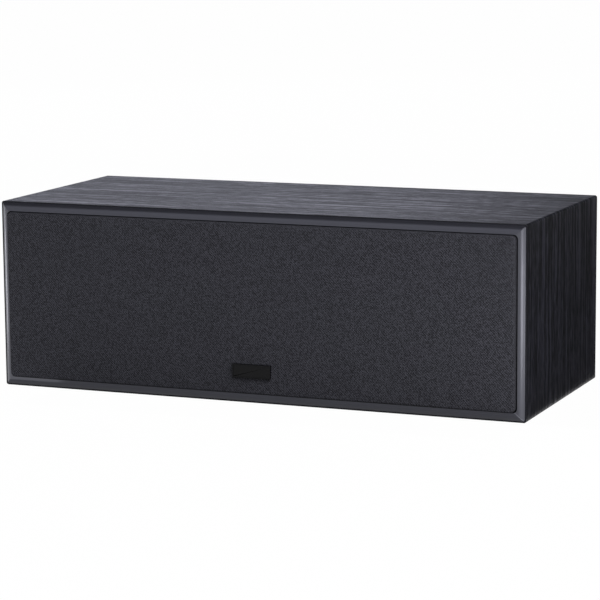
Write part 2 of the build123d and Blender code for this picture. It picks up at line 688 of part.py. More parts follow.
with BuildPart() as tweeter_magnet:
    ring(TWEETER_SEAT, TWEETER_YOKE_H, TWEETER_MAGNET_H, TWEETER_BOSS_R, DOME_R + 4)
save(tweeter_magnet.part, "tweeter_magnet")

with BuildPart() as tweeter_yoke:
    tweeter_pole_r = TWEETER_COIL_R - FORMER_SKIN - POLE_PLAY
    ring(TWEETER_SEAT, TWEETER_YOKE_H - TWEETER_YOKE, TWEETER_YOKE_H, TWEETER_BOSS_R - 2)
    ring(TWEETER_SEAT, TWEETER_YOKE_H, TWEETER_TOP_H - 0.8, tweeter_pole_r)
save(tweeter_yoke.part, "tweeter_yoke")

with BuildPart() as tweeter_screws:
    screws(front(FLOOR_Y), TWEETER_SCREW_SPOTS)
save(tweeter_screws.part, "tweeter_screws")

# Solder tags: on each basket's ledge towards the middle, and on the tweeter's yoke
TAG_R = LEDGE_IN_R + TAG_REACH
TAG_H = LEDGE_H - SHEET
TWEETER_TAG_H = TWEETER_YOKE_H - TWEETER_YOKE
with BuildPart() as driver_tags:
    for centre_x in (-WOOFER_X, WOOFER_X):
        with Locations(front(FLOOR_Y + WOOFER_STEP - TAG_H, centre_x)):
            with Locations((-math.copysign(TAG_R, centre_x), 0)):
                Box(TAG_WIDTH, TAG_HEIGHT, TAG, align=BACKWARD)
    with Locations(TWEETER_SEAT.offset(TWEETER_TAG_H)):
        Box(TWEETER_TAG_WIDTH, TWEETER_TAG_HEIGHT, TAG, align=BACKWARD)
save(driver_tags.part, "driver_tags")

# Reflex port: flared moulded tube with a thin flange on the rear panel
PORT_MOUTH_R = PORT_R + PORT_FLARE
PORT_THIN = PORT_WALL
with BuildPart() as port_tube:
    port_seat = rear(REAR_FACE_Y, PORT_X)
    turn = math.sqrt(0.5)
    flare_centre = (PORT_MOUTH_R, PORT_THIN - PORT_FLARE)
    outer_flare = PORT_FLARE - PORT_WALL
    with BuildSketch(section(port_seat)):
        with BuildLine():
            Polyline((PORT_MOUTH_R, PORT_THIN), (PORT_MOUTH_R + PORT_FLANGE, PORT_THIN),
                     (PORT_MOUTH_R + PORT_FLANGE, 0), (PORT_MOUTH_R, 0))
            ThreePointArc((PORT_MOUTH_R, 0),
                          (flare_centre[0] - outer_flare * turn, flare_centre[1] + outer_flare * turn),
                          (PORT_R + PORT_WALL, flare_centre[1]))
            Polyline((PORT_R + PORT_WALL, flare_centre[1]), (PORT_R + PORT_WALL, PORT_THIN - PORT_LENGTH),
                     (PORT_R, PORT_THIN - PORT_LENGTH), (PORT_R, flare_centre[1]))
            ThreePointArc((PORT_R, flare_centre[1]),
                          (flare_centre[0] - PORT_FLARE * turn, flare_centre[1] + PORT_FLARE * turn),
                          (PORT_MOUTH_R, PORT_THIN))
        make_face()
    spin(port_seat)
save(port_tube.part, "port_tube")

# Terminal cup: drafted dish with a flange, and a gasket under the flange
CUP_OUTER_WIDTH = CUP_WIDTH + 2 * CUP_FLANGE
CUP_OUTER_HEIGHT = CUP_HEIGHT + 2 * CUP_FLANGE
POST_SPOTS = [(-POST_SPACING / 2, 0), (POST_SPACING / 2, 0)]
with BuildPart() as terminal_cup:
    with BuildSketch(rear(CUP_FRONT_Y - CUP_WALL)):
        RectangleRounded(CUP_OUTER_WIDTH, CUP_OUTER_HEIGHT, CUP_CORNER)
    extrude(amount=CUP_WALL)
    with BuildSketch(rear(CUP_FRONT_Y - CUP_WALL)):
        RectangleRounded(CUP_WIDTH + 2 * CUP_WALL, CUP_HEIGHT + 2 * CUP_WALL, CUP_CORNER)
    with BuildSketch(rear(CUP_FLOOR_Y - CUP_WALL)):
        RectangleRounded(CUP_WIDTH + 2 * CUP_WALL - 2 * CUP_DRAFT,
                         CUP_HEIGHT + 2 * CUP_WALL - 2 * CUP_DRAFT, CUP_CORNER)
    loft()
    with BuildSketch(rear(CUP_FRONT_Y)):
        RectangleRounded(CUP_WIDTH, CUP_HEIGHT, CUP_CORNER)
    with BuildSketch(rear(CUP_FLOOR_Y)):
        RectangleRounded(CUP_WIDTH - 2 * CUP_DRAFT, CUP_HEIGHT - 2 * CUP_DRAFT, CUP_CORNER)
    loft(mode=Mode.SUBTRACT)
    holes(rear(CUP_FLOOR_Y), POST_SPOTS, STUD_R + FIT, CUP_WALL)
    holes(rear(CUP_FRONT_Y), CUP_SCREW_SPOTS, SCREW_R + SCREW_PLAY, CUP_WALL)
save(terminal_cup.part, "terminal_cup")

with BuildPart() as terminal_gasket:
    with BuildSketch(rear(REAR_FACE_Y)):
        RectangleRounded(CUP_OUTER_WIDTH - 1, CUP_OUTER_HEIGHT - 1, CUP_CORNER)
        RectangleRounded(CUP_WIDTH + 2 * CUP_WALL + 1, CUP_HEIGHT + 2 * CUP_WALL + 1,
                         CUP_CORNER, mode=Mode.SUBTRACT)
    extrude(amount=GASKET)
    holes(rear(REAR_FACE_Y + GASKET), CUP_SCREW_SPOTS, SCREW_R + SCREW_PLAY, GASKET)
save(terminal_gasket.part, "terminal_gasket")

with BuildPart() as terminal_screws:
    screws(rear(CUP_FRONT_Y), CUP_SCREW_SPOTS)
save(terminal_screws.part, "terminal_screws")

# Binding posts: a collar on the cup's floor and a stud bored for a 4 mm plug
with BuildPart() as terminal_posts:
    with Locations(rear(CUP_FLOOR_Y)):
        with Locations(*POST_SPOTS):
            Cylinder(STUD_R, STUD_INNER, align=BACKWARD)
            Cylinder(STUD_R, STUD_OUTER, align=FORWARD)
            Cylinder(COLLAR_R, COLLAR, align=FORWARD)
    holes(rear(CUP_FLOOR_Y + STUD_OUTER), POST_SPOTS, BANANA_R, BANANA_DEPTH)
    with Locations(rear(CUP_FLOOR_Y + COLLAR + WASHER + WIRE_HOLE_R)):
        with Locations(*POST_SPOTS):
            Cylinder(WIRE_HOLE_R, 2 * COLLAR_R, rotation=(90, 0, 0), mode=Mode.SUBTRACT)
save(terminal_posts.part, "terminal_posts")

with BuildPart() as terminal_nuts:
    with BuildSketch(rear(CUP_FLOOR_Y - CUP_WALL)):
        with Locations(*POST_SPOTS):
            RegularPolygon(NUT_ACROSS / 2, 6, major_radius=False)
            Circle(STUD_R + FIT, mode=Mode.SUBTRACT)
    extrude(amount=-NUT)
save(terminal_nuts.part, "terminal_nuts")


def clamp_washer(post):
    with BuildPart() as washer:
        ring(post, COLLAR, COLLAR + WASHER, WASHER_R, STUD_R + THREAD_PLAY)
    return washer.part


def turning_cap(post):
    """Fluted cap screwed on the stud, open at the end for the plug."""
    low = COLLAR + WASHER
    with BuildPart() as cap:
        with BuildSketch(post.offset(low)):
            Circle(TURN_CAP_R)
            with PolarLocations(TURN_CAP_R + FLUTE_R * 0.3, FLUTES):
                Circle(FLUTE_R, mode=Mode.SUBTRACT)
        extrude(amount=TURN_CAP_LENGTH)
        holes(post.offset(low + TURN_CAP_LENGTH - TURN_CAP_END), [(0, 0)], STUD_R + THREAD_PLAY,
              TURN_CAP_LENGTH - TURN_CAP_END)
        holes(post.offset(low + TURN_CAP_LENGTH), [(0, 0)], TURN_CAP_MOUTH_R, TURN_CAP_END)
    return cap.part


for colour, post_spot in zip(("black", "red"), POST_SPOTS):
    post_plane = rear(CUP_FLOOR_Y, -post_spot[0])
    save(clamp_washer(post_plane), "terminal_washer_" + colour)
    save(turning_cap(post_plane), "terminal_cap_" + colour)

# Crossover: a board on four spacers over the bottom, with its coils, capacitors and resistor
PCB_PLANE = Plane(origin=(0, 0, PCB_Z))
PCB_TOP = PCB_PLANE.offset(PCB)
SPACER_X = PCB_WIDTH / 2 - SPACER_INSET
SPACER_Y = PCB_DEPTH / 2 - SPACER_INSET
LARGE_COIL_X = LARGE_COIL_R + COIL_MARGIN + 1 - PCB_WIDTH / 2
LARGE_COIL_Y = LARGE_COIL_R + COIL_MARGIN - PCB_DEPTH / 2
SMALL_COIL_X = LARGE_COIL_X + LARGE_COIL_R + SMALL_COIL_R + COIL_SPACING
SMALL_COIL_Y = SMALL_COIL_R + COIL_MARGIN - PCB_DEPTH / 2
CAPACITOR_X = PCB_WIDTH / 2 - CAPACITOR_INSET - CAPACITOR_LENGTH / 2
CAPACITOR_Y = SMALL_COIL_Y + SMALL_COIL_R + CAPACITOR_GAP + CAPACITOR_R + CAPACITOR_SPACING
RESISTOR_X = PCB_WIDTH / 2 - RESISTOR_INSET - RESISTOR_WIDTH / 2
RESISTOR_Y = RESISTOR_LENGTH / 2 + RESISTOR_MARGIN - PCB_DEPTH / 2
with BuildPart() as crossover_board:
    with BuildSketch(PCB_PLANE):
        Rectangle(PCB_WIDTH, PCB_DEPTH)
    extrude(amount=PCB)
save(crossover_board.part, "crossover_board")

with BuildPart() as crossover_spacers:
    with Locations(PCB_PLANE):
        with GridLocations(2 * SPACER_X, 2 * SPACER_Y, 2, 2):
            Cylinder(SPACER_R, SPACER, align=BACKWARD)
save(crossover_spacers.part, "crossover_spacers")

with BuildPart() as crossover_coil_large:
    with BuildSketch(PCB_TOP):
        with Locations((LARGE_COIL_X, LARGE_COIL_Y)):
            Circle(LARGE_COIL_R)
            Circle(LARGE_COIL_BORE_R, mode=Mode.SUBTRACT)
    extrude(amount=LARGE_COIL)
save(crossover_coil_large.part, "crossover_coil_large")

with BuildPart() as crossover_coil_small:
    with BuildSketch(PCB_TOP):
        with Locations((SMALL_COIL_X, SMALL_COIL_Y)):
            Circle(SMALL_COIL_R)
            Circle(SMALL_COIL_BORE_R, mode=Mode.SUBTRACT)
    extrude(amount=SMALL_COIL)
save(crossover_coil_small.part, "crossover_coil_small")

with BuildPart() as crossover_capacitors:
    with Locations(PCB_TOP.offset(CAPACITOR_R)):
        with Locations((CAPACITOR_X, CAPACITOR_Y), (CAPACITOR_X, CAPACITOR_Y - CAPACITOR_SPACING)):
            Cylinder(CAPACITOR_R, CAPACITOR_LENGTH, rotation=(0, 90, 0))
save(crossover_capacitors.part, "crossover_capacitors")

with BuildPart() as crossover_resistor:
    with BuildSketch(PCB_TOP):
        with Locations((RESISTOR_X, RESISTOR_Y)):
            Rectangle(RESISTOR_WIDTH, RESISTOR_LENGTH)
    extrude(amount=RESISTOR_WIDTH)
save(crossover_resistor.part, "crossover_resistor")

# Leads from the board to the solder tags and the posts
BOARD_TOP_Z = PCB_Z + PCB
WOOFER_TAG_Y = FLOOR_Y + WOOFER_STEP - TAG_H + TAG
TWEETER_TAG_Y = FLOOR_Y + TWEETER_STEP - TWEETER_TAG_H + TAG
STUD_END_Y = CUP_FLOOR_Y - STUD_INNER
TAG_X = WOOFER_X - TAG_R
HALF_POST = POST_SPACING / 2
LEAD_TURN = 26.0
LEAD_RISE = 24.0
LAND_X = PCB_WIDTH / 2 - 6
LAND_BACK_Y = PCB_DEPTH / 2 - 12


def lead(start, run, landing):
    """A lead that leaves along Y, crosses over and drops on to the board."""
    end_x, end_y = landing
    knee = (start[0], start[1] + run, start[2])
    above = (end_x, end_y, BOARD_TOP_Z + LEAD_RISE)
    with BuildLine() as route:
        FilletPolyline(start, knee, above, (end_x, end_y, BOARD_TOP_Z), radius=8.0)
    with BuildSketch(Plane(origin=start, z_dir=(0, math.copysign(1, run), 0))) as core:
        Circle(LEAD_R)
    sweep(core.sketch, path=route.line)


with BuildPart() as internal_leads:
    lead((-TAG_X, WOOFER_TAG_Y, AXIS_Z), LEAD_TURN, (-LAND_X, LAND_BACK_Y))
    lead((TAG_X, WOOFER_TAG_Y, AXIS_Z), LEAD_TURN, (LAND_X, LAND_BACK_Y))
    lead((0, TWEETER_TAG_Y, AXIS_Z), LEAD_TURN, (LARGE_COIL_X, LAND_BACK_Y))
    lead((-HALF_POST, STUD_END_Y, AXIS_Z), -LEAD_TURN / 2, (-10, PCB_DEPTH / 2 - 6))
    lead((HALF_POST, STUD_END_Y, AXIS_Z), -LEAD_TURN / 2, (LAND_X - 8, PCB_DEPTH / 2 - 5))
save(internal_leads.part, "internal_leads")
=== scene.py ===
"""Dresses the centre speaker: foil, cloth, drivers and terminals, then the studio round it."""

import json
import math

import bmesh
import bpy
from mathutils import Matrix, Quaternion, Vector

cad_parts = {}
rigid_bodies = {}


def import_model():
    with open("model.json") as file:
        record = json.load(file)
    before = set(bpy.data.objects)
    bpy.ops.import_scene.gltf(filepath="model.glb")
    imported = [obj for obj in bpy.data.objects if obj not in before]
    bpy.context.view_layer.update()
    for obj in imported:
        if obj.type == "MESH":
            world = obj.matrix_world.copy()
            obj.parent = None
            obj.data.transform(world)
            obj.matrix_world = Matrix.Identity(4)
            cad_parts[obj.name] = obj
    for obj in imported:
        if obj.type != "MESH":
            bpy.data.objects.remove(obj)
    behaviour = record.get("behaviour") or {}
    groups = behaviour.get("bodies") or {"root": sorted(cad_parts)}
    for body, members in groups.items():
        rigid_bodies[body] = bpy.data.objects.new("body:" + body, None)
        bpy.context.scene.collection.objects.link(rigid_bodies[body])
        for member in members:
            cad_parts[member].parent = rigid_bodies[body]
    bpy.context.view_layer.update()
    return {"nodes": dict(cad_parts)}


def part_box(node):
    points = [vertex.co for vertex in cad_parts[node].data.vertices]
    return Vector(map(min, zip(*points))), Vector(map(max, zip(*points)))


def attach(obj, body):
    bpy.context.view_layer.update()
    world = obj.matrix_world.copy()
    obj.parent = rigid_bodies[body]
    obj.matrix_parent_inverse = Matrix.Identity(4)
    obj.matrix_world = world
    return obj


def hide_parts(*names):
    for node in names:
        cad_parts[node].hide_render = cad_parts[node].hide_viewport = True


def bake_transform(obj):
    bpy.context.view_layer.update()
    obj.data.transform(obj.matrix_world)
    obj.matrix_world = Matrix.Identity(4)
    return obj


scene = bpy.context.scene
for leftover in list(bpy.data.objects):
    bpy.data.objects.remove(leftover)
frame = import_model()
nodes = frame["nodes"]

MM = 0.001
TURN = 2 * math.pi
SQUARE_ON = 0.7
COOL_SHEEN = (0.86, 0.87, 1.0, 1.0)


def tint(red, green, blue):
    """A colour written as it looks on a screen, 0 to 255, in the shader's linear numbers."""
    levels = []
    for level in (red / 255, green / 255, blue / 255):
        levels.append(level / 12.92 if level <= 0.04045 else ((level + 0.055) / 1.055) ** 2.4)
    return (*levels, 1.0)


class Value:
    """A shader socket that plain arithmetic works on."""

    def __init__(self, finish, socket):
        self.finish = finish
        self.socket = socket

    def reckon(self, operation, *terms):
        return self.finish.node("Math", {"operation": operation}, dict(enumerate(terms)))

    def __add__(self, other):
        return self.reckon("ADD", self, other)

    __radd__ = __add__

    def __sub__(self, other):
        return self.reckon("SUBTRACT", self, other)

    def __rsub__(self, other):
        return self.reckon("SUBTRACT", other, self)

    def __mul__(self, other):
        return self.reckon("MULTIPLY", self, other)

    def __pow__(self, power):
        return self.reckon("POWER", self, power)

    def __abs__(self):
        return self.reckon("ABSOLUTE", self)

    def __gt__(self, other):
        return self.reckon("GREATER_THAN", self, other)

    def __lt__(self, other):
        return self.reckon("LESS_THAN", self, other)

    def wave(self, pitch):
        """A ripple from 0 to 1 that repeats every pitch."""
        return self.reckon("SINE", self * (TURN / pitch)) * 0.5 + 0.5

    def rise(self, low, high):
        """0 below low, 1 above high and smooth between."""
        sockets = {"Value": self, "From Min": low, "From Max": high}
        return self.finish.node("MapRange", {"interpolation_type": "SMOOTHSTEP"}, sockets)


class Finish:
    """A material in the making."""

    def __init__(self, name):
        self.material = bpy.data.materials.new(name)
        self.material.use_nodes = True
        self.tree = self.material.node_tree
        self.tree.nodes.clear()

    def node(self, kind, settings=None, sockets=None, output=0):
        made = self.tree.nodes.new("ShaderNode" + kind)
        for name, setting in (settings or {}).items():
            setattr(made, name, setting)
        for name, value in (sockets or {}).items():
            if isinstance(value, Value):
                self.tree.links.new(value.socket, made.inputs[name])
            else:
                made.inputs[name].default_value = value
        return Value(self, made.outputs[output]) if made.outputs else made

    def axes(self, kind):
        """The x, y and z of one of the piece's own vectors."""
        vector = self.node("TexCoord", output=kind)
        x = self.node("SeparateXYZ", sockets={0: vector})
        return x, Value(self, x.socket.node.outputs[1]), Value(self, x.socket.node.outputs[2])

    def place(self):
        """Where a point of the piece is: x, y and z in metres."""
        return self.axes("Object")

    def facing_y(self):
        """1 where the piece faces forward or back, 0 elsewhere."""
        return abs(self.axes("Normal")[1]) > SQUARE_ON

    def cloud(self, x, y, z, detail=2.0):
        """Soft noise over three coordinates that are already scaled."""
        spot = self.node("CombineXYZ", sockets={0: x, 1: y, 2: z})
        return self.node("TexNoise", sockets={"Vector": spot, "Scale": 1.0, "Detail": detail})

    def grit(self, scale, detail=2.0):
        """Even noise all round the piece, scale grains to the metre."""
        spot = self.node("TexCoord", output="Object")
        return self.node("TexNoise", sockets={"Vector": spot, "Scale": scale, "Detail": detail})

    def mix(self, mask, low, high):
        """The colour low where the mask is 0, and high where it is 1."""
        return self.node("Mix", {"data_type": "RGBA"}, {0: mask, 6: low, 7: high}, output=2)

    def relief(self, height, depth):
        """A bump of that depth in metres."""
        return self.node("Bump", sockets={"Height": height, "Distance": depth, "Strength": 1.0})

    def done(self, colour, roughness, relief=None, **fixed):
        """Closes the material: what varies, then the sockets that are the same all over."""
        sockets = {"Base Color": colour, "Roughness": roughness}
        if relief is not None:
            sockets["Normal"] = relief
        for name, value in fixed.items():
            sockets[name.replace("_", " ")] = value
        body = self.node("BsdfPrincipled", sockets=sockets)
        self.node("OutputMaterial", sockets={"Surface": body})
        return self.material


def ash_foil():
    """Black ash foil whose grain runs round the folded cabinet, and paint on the wrap's cut edges."""
    wander = 34 * MM
    pore_depth = 0.2 * MM
    foil = Finish("black ash foil")
    x, y, z = foil.place()
    along = x - z
    drift = foil.cloud(along * 3.2, y * 10.0, 0.3)
    across = y + (drift - 0.5) * wander
    bands = foil.cloud(along * 5.0, across * 260.0, 4.0)
    lines = foil.cloud(along * 15.0, across * 620.0, 7.0)
    fibres = foil.cloud(along * 50.0, across * 1150.0, 9.0, detail=1.0)
    pores = foil.cloud(along * 110.0, across * 700.0, 2.0, detail=1.0)
    figure = (bands * 0.34 + lines * 0.28 + fibres * 0.2 + pores * 0.18).rise(0.44, 0.575)
    grained = foil.mix(figure ** 2.0, tint(1, 1, 2), tint(44, 44, 53))
    cut = foil.facing_y()
    painted = foil.mix(foil.grit(700.0), tint(12, 12, 14), tint(26, 26, 30))
    colour = foil.mix(cut, grained, painted)
    pattern = figure * (1 - cut)
    return foil.done(
        colour,
        0.6 - pattern * 0.2,
        foil.relief(pattern, pore_depth),
        Specular_IOR_Level=0.3,
        Specular_Tint=COOL_SHEEN,
    )


def satin_foil():
    """Satin black foil on the front's rim, mitred at the corners, with a painted highlight on the
    bottom-right mitre and painted shade in its recess.
    """
    seam = (0.08 * MM, 0.35 * MM)
    gap = (0.2 * MM, 0.6 * MM)
    recess_depth = (0.6 * MM, 1.2 * MM)
    rim_width = 5 * MM
    foil_depth = 0.03 * MM
    foil = Finish("satin black foil")
    x, y, z = foil.place()
    low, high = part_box("front_baffle")
    from_side = high.x - abs(x)
    from_end = (high.z - low.z) / 2 - abs(z - (high.z + low.z) / 2)
    from_mitre = abs(from_side - from_end)
    mitre = 1 - from_mitre.rise(*seam)
    # A light line painted along the bottom-right mitre: a painted highlight of the seam's edge.
    painted_seam_highlight = (1 - from_mitre.rise(*gap)) * (x > 0) * (z < high.z / 2)
    behind_rim = (from_side > rim_width) * (from_end > rim_width)
    # The recess behind the rim is coloured near black: painted shade in the gap round the grille. It is also
    # made rougher.
    shaded_recess = y.rise(low.y + recess_depth[0], low.y + recess_depth[1]) * behind_rim
    grain = foil.grit(2600.0)
    cloudy = foil.grit(60.0)
    sheet = foil.mix(grain * 0.7 + cloudy * 0.3, tint(20, 20, 24), tint(32, 32, 38))
    sheet_with_seam_highlight = foil.mix(painted_seam_highlight * 0.5, sheet, tint(140, 140, 148))
    colour = foil.mix(shaded_recess, sheet_with_seam_highlight, tint(5, 5, 6))
    return foil.done(
        colour,
        0.27 + cloudy * 0.08 + shaded_recess * 0.6,
        foil.relief(grain * 0.6 - mitre, foil_depth),
        IOR=1.8,
        Specular_IOR_Level=0.7,
        Specular_Tint=COOL_SHEEN,
    )


def twill():
    """Charcoal speaker cloth, a fine twill whose ribs fall to the right."""
    rib_pitch = 2.1 * MM
    pick_pitch = 1.7 * MM
    thread_depth = 0.16 * MM
    cloth = Finish("charcoal twill")
    x, y, z = cloth.place()
    run = x + y
    ribs = (run + z).wave(rib_pitch)
    picks = (run - z).wave(pick_pitch)
    threads = ribs * 0.55 + picks * 0.45
    uneven = cloth.grit(1250.0, detail=0.0)
    slubs = cloth.cloud(x * 45.0, y * 45.0, z * 420.0)
    shade = threads * 0.56 + uneven.rise(0.38, 0.62) * 0.4 + slubs * 0.04
    colour = cloth.mix(shade, tint(0, 0, 1), tint(72, 72, 78))
    return cloth.done(
        colour,
        0.92 - threads * 0.12,
        cloth.relief(threads + uneven * 0.6, thread_depth),
        Specular_IOR_Level=0.25,
    )


def moulded(name, dark, light, roughness, grain=1800.0, depth=0.05, specular=0.45):
    """Moulded plastic or paint with a fine grain."""
    plastic = Finish(name)
    fine = plastic.grit(grain)
    broad = plastic.grit(45.0)
    colour = plastic.mix(fine * 0.5 + broad * 0.5, dark, light)
    height = plastic.relief(fine, depth * MM)
    return plastic.done(colour, roughness + (broad - 0.5) * 0.12, height, Specular_IOR_Level=specular)


def metal(name, dark, light, roughness, scratch=(900.0, 60.0, 900.0), depth=0.01):
    """Plated or bare metal, drawn along one way."""
    plate = Finish(name)
    x, y, z = plate.place()
    drawn = plate.cloud(x * scratch[0], y * scratch[1], z * scratch[2])
    broad = plate.grit(70.0)
    colour = plate.mix(drawn * 0.5 + broad * 0.5, dark, light)
    height = plate.relief(drawn, depth * MM)
    return plate.done(colour, roughness + (drawn - 0.5) * 0.2, height, Metallic=1.0)


def pressed_paper():
    """Cone pulp: felted fibres under a thin dark coating."""
    paper = Finish("pressed cone paper")
    fibres = paper.grit(1100.0, detail=4.0)
    patches = paper.grit(160.0)
    colour = paper.mix(fibres * 0.6 + patches * 0.4, tint(22, 22, 24), tint(52, 52, 55))
    height = paper.relief(fibres, 0.1 * MM)
    return paper.done(colour, 0.72 + (patches - 0.5) * 0.2, height, Specular_IOR_Level=0.35)


def resin_cloth():
    """Spider cloth: an open weave stiffened with amber resin."""
    cloth = Finish("resin cloth")
    x, y, z = cloth.place()
    pitch = 0.9 * MM
    weave = x.wave(pitch) * z.wave(pitch)
    resin = cloth.grit(140.0)
    colour = cloth.mix(weave * 0.6 + resin * 0.4, tint(120, 84, 34), tint(196, 156, 84))
    return cloth.done(colour, 0.7 - resin * 0.15, cloth.relief(weave, 0.1 * MM))


def silk():
    """Coated dome silk."""
    cloth = Finish("coated silk")
    x, y, z = cloth.place()
    pitch = 0.45 * MM
    weave = x.wave(pitch) * z.wave(pitch)
    coat = cloth.grit(240.0)
    colour = cloth.mix(weave * 0.5 + coat * 0.5, tint(16, 16, 18), tint(38, 38, 41))
    height = cloth.relief(weave, 0.03 * MM)
    return cloth.done(colour, 0.42 + coat * 0.15, height, Specular_IOR_Level=0.5)


def fleece():
    """Loose grey-white polyester fleece."""
    wool = Finish("polyester fleece")
    tufts = wool.grit(220.0, detail=5.0)
    fibres = wool.grit(1500.0, detail=3.0)
    colour = wool.mix(tufts * 0.6 + fibres * 0.4, tint(172, 170, 162), tint(234, 232, 226))
    height = tufts + fibres * 0.4
    return wool.done(colour, 0.95 - fibres * 0.05, wool.relief(height, 1.2 * MM), Sheen_Weight=0.3)


def windings(name, axis):
    """Enamelled copper wire wound in close turns along one axis."""
    wire_pitch = 0.7 * MM
    wire = Finish(name)
    along = wire.place()[axis]
    turns = along.wave(wire_pitch)
    enamel = wire.grit(120.0)
    colour = wire.mix(turns * 0.7 + enamel * 0.3, tint(110, 52, 22), tint(196, 112, 58))
    return wire.done(colour, 0.3 + enamel * 0.15, wire.relief(turns, 0.25 * MM), Metallic=0.85)


def circuit_board():
    """Brown board with tinned copper tracks round the parts."""
    board = Finish("crossover board")
    x, y, z = board.place()
    lanes = board.cloud(x * 45.0, y * 45.0, 0.0, detail=0.0)
    tracks = 1 - abs(lanes - 0.5).rise(0.02, 0.035)
    paper = board.grit(500.0)
    ground = board.mix(paper, tint(104, 70, 36), tint(136, 96, 52))
    colour = board.mix(tracks, ground, tint(168, 172, 170))
    height = board.relief(tracks, 0.04 * MM)
    return board.done(colour, 0.5 - tracks * 0.15, height, Specular_IOR_Level=0.5)


def insulation():
    """Lead insulation: red to one side of each pair and black to the other."""
    lead = Finish("lead insulation")
    x, y, z = lead.place()
    ridges = (x + y + z).wave(1.2 * MM)
    dust = lead.grit(400.0)
    paired = lead.mix(x.rise(-2 * MM, 2 * MM), tint(150, 24, 22), tint(28, 28, 30))
    colour = lead.mix(dust * 0.25, paired, tint(90, 84, 82))
    return lead.done(colour, 0.45 + dust * 0.15, lead.relief(ridges, 0.03 * MM))


FINISHES = {
    "black_ash_foil": ash_foil(),
    "satin_black_foil": satin_foil(),
    "damping_fleece": fleece(),
    "grille_fabric": twill(),
    "black_abs": moulded("black moulding", tint(20, 20, 22), tint(34, 34, 37), 0.5),
    "black_rubber": moulded(
        "black rubber", tint(16, 16, 17), tint(30, 30, 32), 0.62, grain=1200.0, depth=0.03
    ),
    "foam_gasket": moulded(
        "sealing foam", tint(26, 26, 27), tint(52, 52, 54), 0.95, grain=1500.0, depth=0.3
    ),
    "badge_black": moulded(
        "gloss badge", tint(6, 6, 7), tint(12, 12, 14), 0.25, grain=900.0, depth=0.004, specular=0.15
    ),
    "black_steel": moulded(
        "black coated steel", tint(18, 18, 20), tint(32, 32, 34), 0.42, grain=2400.0, depth=0.03
    ),
    "cone_paper": pressed_paper(),
    "former_aluminium": metal("coil former foil", tint(150, 152, 156), tint(200, 202, 206), 0.35),
    "copper_wire": windings("voice coil wire", 1),
    "spider_cloth": resin_cloth(),
    "zinc_steel": metal("zinc plate", tint(138, 140, 140), tint(190, 192, 190), 0.38),
    "ferrite": moulded(
        "sintered ferrite", tint(46, 46, 48), tint(70, 70, 73), 0.6, grain=1300.0, depth=0.06
    ),
    "black_screw": metal("black oxide screws", tint(30, 30, 32), tint(56, 56, 58), 0.4),
    "dome_silk": silk(),
    "gold_brass": metal("gold plate", tint(186, 140, 62), tint(228, 186, 104), 0.24),
    "red_cap": moulded(
        "red cap", tint(120, 10, 12), tint(156, 20, 22), 0.34, grain=1500.0, depth=0.02
    ),
    "black_cap": moulded(
        "black cap", tint(16, 16, 18), tint(30, 30, 32), 0.34, grain=1500.0, depth=0.02
    ),
    "circuit_board": circuit_board(),
    "nylon": moulded(
        "white nylon", tint(196, 192, 180), tint(226, 223, 214), 0.5, grain=600.0, depth=0.02
    ),
    "capacitor_film": moulded(
        "film capacitor", tint(142, 112, 22), tint(190, 158, 48), 0.4, grain=300.0, depth=0.03
    ),
    "resistor_ceramic": moulded(
        "resistor ceramic", tint(184, 180, 170), tint(222, 219, 210), 0.8, grain=1500.0
    ),
    "tag_board": moulded("tag board", tint(104, 66, 34), tint(142, 98, 54), 0.55, grain=700.0),
    "lead_insulation": insulation(),
}
COILS = windings("crossover coil wire", 2)
BACK_BOARD = moulded(
    "painted back board", tint(15, 15, 16), tint(27, 27, 29), 0.72, grain=900.0, specular=0.2
)
SPECIAL = {"crossover_coil_large": COILS, "crossover_coil_small": COILS, "rear_panel": BACK_BOARD}


def dress():
    """Every CAD piece gets the finish of its slot, apart from a few with their own."""
    for name, node in nodes.items():
        slot = node.data.materials[0].name.split(".")[0]
        node.data.materials.clear()
        node.data.materials.append(SPECIAL.get(name, FINISHES[slot]))


def placed(name, shape, material):
    """Turns a finished bmesh into an object in the scene."""
    mesh = bpy.data.meshes.new(name)
    shape.to_mesh(mesh)
    shape.free()
    mesh.materials.append(material)
    made = bpy.data.objects.new(name, mesh)
    scene.collection.objects.link(made)
    return made


def piece(name, shape, slot, smooth=True):
    """Turns a finished bmesh into a piece of the speaker with its slot's finish."""
    made = placed(name, shape, FINISHES[slot])
    for face in made.data.polygons:
        face.use_smooth = smooth
    return made


def corners_of(geometry):
    """The vertices among what an operator made."""
    return [part for part in geometry if isinstance(part, bmesh.types.BMVert)]


def give_wall(made, wall, offset):
    """Gives a skin its wall: offset 0 to both sides of it, -1 to its inside."""
    skin = made.modifiers.new("wall", "SOLIDIFY")
    skin.thickness = wall
    skin.offset = offset


def arc(shape, start, centre, angle, steps):
    """Carries a vertex round a centre, in a plane of constant z, and returns the last vertex."""
    swept = bmesh.ops.spin(shape, geom=[start], cent=centre, axis=(0, 0, 1), angle=angle, steps=steps)
    return corners_of(swept["geom_last"])[0]


def reach(shape, start, step):
    """Extends an outline from a vertex by a step, and returns the new end."""
    end = bmesh.ops.extrude_vert_indiv(shape, verts=[start])["verts"][0]
    end.co += Vector(step)
    return end


def round_edges(shape, edges, radius, steps):
    """Rounds those edges in that many steps."""
    bmesh.ops.bevel(
        shape, geom=edges, offset=radius, segments=steps, profile=0.5, affect="EDGES", material=-1
    )


def turn_outline(shape, centre, sides):
    """Spins the whole outline about the driver's axis."""
    weld = 0.01 * MM
    outline = list(shape.verts) + list(shape.edges)
    bmesh.ops.spin(
        shape, geom=outline, cent=centre, axis=(0, 1, 0), angle=TURN, steps=sides, use_merge=True
    )
    bmesh.ops.remove_doubles(shape, verts=shape.verts, dist=weld)
    bmesh.ops.recalc_face_normals(shape, faces=shape.faces)


